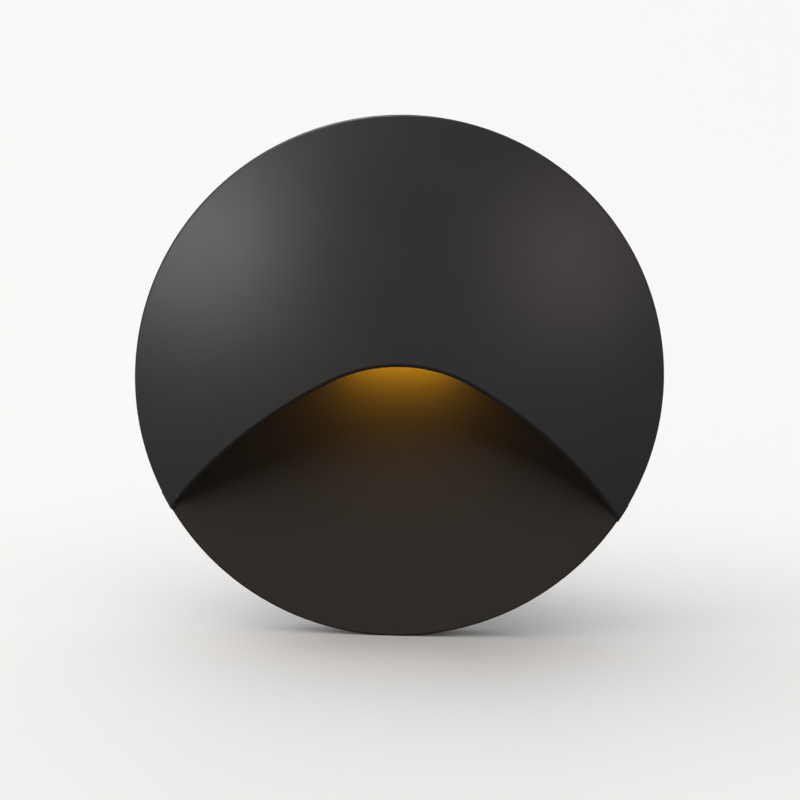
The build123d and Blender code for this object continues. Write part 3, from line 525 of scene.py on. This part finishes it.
# the arch between the two shells: a crest and two flanks, with a seam under it
crest_centre, crest_radius, crest_half_width = Vector((0.0, 0.0, -0.0285)), 0.0327, 0.0156
flank_centre, flank_radius = Vector((-0.03283, 0.0, -0.08896)), 0.1015
seam, seam_play = 0.0002, 0.00002
lower_plate = merged_copy("lower_face", "lower_plate")
# the plate's two ends close up to the hood, where the seam would let daylight through
end_start, end_run, end_turn = 0.046, 0.0026, 0.0031
for vertex in lower_plate.data.vertices:
    spot = Vector((abs(vertex.co.x), 0.0, vertex.co.z))
    on_seam = abs((spot - flank_centre).length - (flank_radius - seam)) < seam_play
    if on_seam and spot.x > end_start:
        share = min(1.0, (spot.x - end_start) / end_run)
        vertex.co = Matrix.Rotation(math.copysign(end_turn * share, -vertex.co.x), 3, "Y") @ vertex.co
bpy.ops.object.shade_smooth_by_angle(angle=math.radians(30.0))
lower_plate.modifiers.new("even shading", "WEIGHTED_NORMAL").keep_sharp = True
apply_last(lower_plate)
fit(lower_plate, face_satin, "light_body", "face_shell", "lower_face")
# painted shade along the rolled lip: a band along the arch is painted near-black for the shade at the lip's edge,
# and its duller finish is a guess
lip_low, lip_high = 0.00075, 0.00125
painted_lip_shade_colour, lip_roughness = (0.0012, 0.0011, 0.001, 1.0), 0.85
tree = hood_satin.node_tree
place = add_node(tree, "SeparateXYZ", {"Vector": object_place(tree)}).outputs
across = math_node(tree, "ABSOLUTE", place["X"])
point = add_node(tree, "CombineXYZ", {"X": across, "Z": place["Z"]}).outputs[0]
heights = []
for centre, radius in ((crest_centre, crest_radius), (flank_centre, flank_radius)):
    reach = add_node(tree, "VectorMath", {0: point, 1: centre}, operation="DISTANCE").outputs["Value"]
    heights.append(math_node(tree, "SUBTRACT", reach, radius))
on_flank = math_node(tree, "GREATER_THAN", across, crest_half_width)
lip = ranged(tree, mixed(tree, on_flank, *heights, "FLOAT"), lip_high, lip_low)
skin = tree.nodes["Principled BSDF"].inputs["Base Color"].links[0].from_node.outputs
link_shader(
    tree,
    Base_Color=mixed(tree, lip, skin["Colour"], painted_lip_shade_colour, "RGBA"),
    Roughness=mixed(tree, lip, skin["Roughness"], lip_roughness, "FLOAT"),
)
dress(hood_satin, "hood_cover")


# Spring clips: one at each side of the can, a stamped steel arm on a riveted pin, with a torsion spring that
# pulls it to the back of the wall and a ribbed rubber pad at its tip. They fold back to pass the cut-out.
dress(metal("arm steel", (0.56, 0.57, 0.58), 0.36, (0.06, 1.0, 1.0)), "clip_arm_left", "clip_arm_right")
dress(bright_pin, "clip_pin_left", "clip_pin_right")
low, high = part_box("clip_pad_right")
middle, size = (low + high) / 2, high - low
ridge, strips = 0.00045, 9
bpy.ops.object.select_all(action="DESELECT")
bpy.ops.mesh.primitive_cube_add(size=1.0, location=(middle.x, middle.y + ridge / 2, middle.z),
                                scale=(size.x, size.y - ridge, size.z))
bpy.ops.object.transform_apply(location=True, rotation=False, scale=True)
pad = bpy.context.object
pad.name = "clip_pad_rubber_right"
bpy.ops.object.mode_set(mode="EDIT")
for cut in range(1, strips):
    bpy.ops.mesh.select_all(action="SELECT")
    bpy.ops.mesh.bisect(plane_co=(low.x + size.x * cut / strips, 0.0, 0.0), plane_no=(1.0, 0.0, 0.0))
bpy.ops.mesh.select_mode(type="FACE")
bpy.ops.mesh.select_all(action="DESELECT")
bpy.ops.object.mode_set(mode="OBJECT")
for face in pad.data.polygons:
    number = int((face.center.x - low.x) / size.x * strips)
    face.select = face.normal.y < -0.9 and number % 2 == 0
bpy.ops.object.mode_set(mode="EDIT")
bpy.ops.mesh.extrude_region_move(TRANSFORM_OT_translate={"value": (0.0, -ridge, 0.0)})
bpy.ops.mesh.select_all(action="SELECT")
bpy.ops.mesh.dissolve_limited(angle_limit=flat_angle)
bpy.ops.object.mode_set(mode="OBJECT")
round_edges(pad, 0.00012)
swapped = Matrix.Diagonal((-1.0, 1.0, 1.0, 1.0))
fit(copied(pad, "clip_pad_rubber_left", swapped), seal_rubber, "clip_left", "seal_rubber", "clip_pad_left")
fit(pad, seal_rubber, "clip_right", "seal_rubber", "clip_pad_right")

spring_wire = metal("spring wire", (0.45, 0.45, 0.47), 0.3, (0.3, 0.3, 1.0))
coil_radius, wire_radius, rise, turns, turn_steps = 0.0016, 0.00035, 0.0013, 4.25, 28
pivot_x, pivot_y = 0.0305, 0.0105
bar_leg, arm_leg = 0.0039, 0.01
end_reach, end_flatness = wire_radius * 1.2, wire_radius * 0.3
half_rise = rise * turns / 2
bpy.ops.object.select_all(action="DESELECT")
bpy.ops.mesh.primitive_circle_add(vertices=14, radius=wire_radius, location=(-coil_radius, 0.0, -half_rise),
                                  rotation=(math.pi / 2, 0.0, 0.0))
bpy.ops.object.transform_apply(location=True, rotation=True, scale=True)
spring = bpy.context.object
spring.name = "clip_spring_wire_right"
coil = spring.modifiers.new("coil", "SCREW")
coil.angle = -2 * math.pi * turns
coil.screw_offset = rise * turns
coil.steps = coil.render_steps = int(turns * turn_steps)
apply_last(spring)
lean = rise / (2 * math.pi * coil_radius)
ends = (((-coil_radius, 0.0, -half_rise), (0.0, -bar_leg, -bar_leg * lean)),
        ((0.0, coil_radius, half_rise), (arm_leg, 0.0, arm_leg * lean)))
for end, leg in ends:
    for vertex in spring.data.vertices:
        flat = (vertex.co - Vector(end)) * Vector([1.0 if part else 0.0 for part in leg])
        near_end = (vertex.co - Vector(end)).length < end_reach
        vertex.select = near_end and abs(flat.x + flat.y) < end_flatness
    bpy.ops.object.mode_set(mode="EDIT")
    bpy.ops.mesh.select_mode(type="VERT")
    bpy.ops.mesh.extrude_region_move(TRANSFORM_OT_translate={"value": leg})
    bpy.ops.mesh.edge_face_add()
    bpy.ops.mesh.select_all(action="DESELECT")
    bpy.ops.object.mode_set(mode="OBJECT")
spring.data.transform(Matrix.Translation((pivot_x, pivot_y, 0.0)))
weld(spring)
round_edges(spring, 0.00006, segments=2, angle=60.0)
other_spring = copied(spring, "clip_spring_wire_left", swapped)
for side, way, wire in (("left", -1.0, other_spring), ("right", 1.0, spring)):
    wire.data.materials.clear()
    wire.data.materials.append(spring_wire)
    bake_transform(wire)
    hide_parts("clip_spring_" + side)


# Wall gasket: the ring of closed-cell foam between the flange and the wall, die-cut from sheet and stuck to the
# flange. Its cut edges bulge a little and show the cells.
foam, tree = new_finish("gasket foam", Specular_IOR_Level=0.25)
place = object_place(tree)
cells = add_node(tree, "TexVoronoi", {"Vector": place, "Scale": 1700.0}).outputs["Distance"]
cloud = noise_node(tree, place, scale=240.0, detail=4.0)
shade = scaled(tree, cells, 0.8, math_node(tree, "MULTIPLY", cloud, 0.6))
link_shader(
    tree,
    Base_Color=tinted(tree, (0.045, 0.045, 0.048, 1.0), shade),
    Roughness=scaled(tree, cloud, 0.15, 0.8),
    Normal=relief(tree, cells, 0.00015),
)
low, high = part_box("wall_gasket")
inner, outer, bulge = 0.037, high.x, 0.00035
slope, slope_depth, bulge_depth = bulge * 0.3, 0.0003, 0.00075
outline = [
    (inner + bulge, low.y), (outer - bulge, low.y), (outer - slope, low.y + slope_depth),
    (outer, low.y + bulge_depth), (outer - slope, high.y - slope_depth), (outer - bulge, high.y),
    (inner + bulge, high.y), (inner + slope, high.y - slope_depth), (inner, low.y + bulge_depth),
    (inner + slope, low.y + slope_depth),
]
wall_foam = turned("wall_foam", outline, 0.0, 180)
round_edges(wall_foam, 0.00012, segments=2, angle=20.0)
fit(wall_foam, foam, "light_body", "foam", "wall_gasket")


# Studio: a white floor under the light as it stands on its rim, with a broad light from behind and two more that
# fall on the floor alone. The softboxes are kept off the floor: one lights the whole part from above, the others
# fall on the hood or the lower face alone, and a small one adds to the window's glow in the recess.
floor_size = 14.0
bpy.ops.object.select_all(action="DESELECT")
bpy.ops.mesh.primitive_plane_add(size=floor_size, location=(0.0, 0.0, cad_box[0].z))
floor = bpy.context.object
floor.name = "floor"
bpy.ops.object.transform_apply(location=True, rotation=False, scale=True)
white, tree = new_finish("floor white", Roughness=0.6, Specular_IOR_Level=0.2)
# painted light: the floor's white is painted a little darker in front of and near the light and lighter further
# back
depth = add_node(tree, "SeparateXYZ", {"Vector": object_place(tree)}).outputs["Y"]
shade = ranged(tree, depth, -0.02, 0.14, low=0.87, high=0.93, interpolation_type="SMOOTHSTEP")
link_shader(tree, Base_Color=tinted(tree, (1.0, 1.0, 1.0, 1.0), shade))
floor.data.materials.append(white)
floor.visible_diffuse = False


def only(name, *pieces):
    """A set of pieces for a lamp to fall on alone."""
    chosen = bpy.data.collections.new(name)
    for piece in pieces:
        chosen.objects.link(piece)
    return chosen


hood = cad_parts["hood_cover"]
meshes = [piece for piece in bpy.context.scene.objects if piece.type == "MESH"]
light_alone = only("light alone", *[piece for piece in meshes if piece != floor])
floor_alone = only("floor alone", floor)
recess_alone = only("recess alone", lower_plate, hood)
plate_alone = only("plate alone", lower_plate)
hood_alone = only("hood alone", hood)


def hang(name, kind, place, aim, power, colour, falls_on):
    """A studio lamp at a place, turned to a point. It may fall on some pieces alone."""
    lamp = bpy.data.lights.new(name, kind)
    lamp.energy = power
    lamp.color = colour
    holder = bpy.data.objects.new(name, lamp)
    holder.location = place
    holder.rotation_euler = (Vector(aim) - Vector(place)).to_track_quat("-Z", "Y").to_euler()
    holder.visible_camera = False
    if falls_on:
        holder.light_linking.receiver_collection = falls_on
    bpy.context.scene.collection.objects.link(holder)
    return lamp


def broad(name, place, power, colour, spread, falls_on=None):
    """A broad light from far off, spread over an angle."""
    lamp = hang(name, "SUN", place, (0.0, 0.0, 0.0), power, colour, falls_on)
    lamp.angle = math.radians(spread)


def softbox(name, place, size, power, colour, falls_on, aim=(0.0, -0.01, 0.0)):
    """A rectangular soft lamp."""
    lamp = hang(name, "AREA", place, aim, power, colour, falls_on)
    lamp.shape = "RECTANGLE"
    lamp.size, lamp.size_y = size


neutral, warm, glow = (1.0, 0.985, 0.985), (1.0, 0.93, 0.89), (1.0, 0.48, 0.01)
broad("light behind", (-0.17, 0.95, 1.15), 1.35, (1.0, 0.99, 0.98), 85.0)
broad("floor fill", (-0.42, -0.35, 0.95), 2.05, (1.0, 0.985, 0.97), 125.0, floor_alone)
broad("floor side light", (-1.0, -0.15, 0.75), 0.65, (1.0, 0.995, 0.99), 70.0, floor_alone)
softbox("softbox above", (-0.297, -0.467, 1.069), (0.55, 0.5), 36.0, neutral, light_alone)
softbox("softbox left", (-0.585, -1.022, 0.235), (0.42, 0.46), 10.2, neutral, hood_alone)
softbox("softbox right", (0.555, -1.054, 0.208), (0.4, 0.4), 3.3, warm, hood_alone)
softbox("light strip glow", (0.0, -0.0122, 0.0064), (0.024, 0.0036), 0.0322, glow, recess_alone,
        aim=(0.0, -0.0122, 0.0))
softbox("softbox low", (0.0, -0.55, -0.03), (0.5, 0.1), 0.38, warm, plate_alone)
softbox("softbox left edge", (-0.9, 0.3, 0.05), (0.4, 0.4), 5.0, neutral, plate_alone)
softbox("softbox right edge", (0.9, 0.3, 0.05), (0.4, 0.4), 5.0, neutral, plate_alone)

world = bpy.data.worlds.new("studio")
bpy.context.scene.world = world
world.use_nodes = True
tree = world.node_tree
dim = tree.nodes["Background"]
dim.inputs["Color"].default_value = (1.0, 0.97, 0.95, 1.0)
dim.inputs["Strength"].default_value = 0.03
backdrop = add_node(tree, "Background", {"Color": (0.93, 0.93, 0.93, 1.0)})
seen = add_node(tree, "LightPath").outputs["Is Camera Ray"]
either = add_node(tree, "MixShader", {0: seen, 1: dim.outputs[0], 2: backdrop.outputs[0]})
tree.links.new(either.outputs[0], tree.nodes["World Output"].inputs["Surface"])

bpy.context.scene.view_settings.view_transform = "Standard"
azimuth, elevation, roll = math.radians(-2.17), math.radians(10.3), math.radians(2.08)
aim, distance = Vector((0.00013, -0.01, -0.00475)), 0.75
turn = (Matrix.Rotation(azimuth, 3, "Z") @ Matrix.Rotation(math.pi / 2 - elevation, 3, "X")
        @ Matrix.Rotation(roll, 3, "Z"))
lens = bpy.data.cameras.new("camera")
lens.sensor_width = 36.0
lens.lens = 148.95
camera = bpy.data.objects.new("camera", lens)
camera.location = aim + turn @ Vector((0.0, 0.0, distance))
camera.rotation_euler = turn.to_euler()
bpy.context.scene.collection.objects.link(camera)
bpy.context.scene.camera = camera
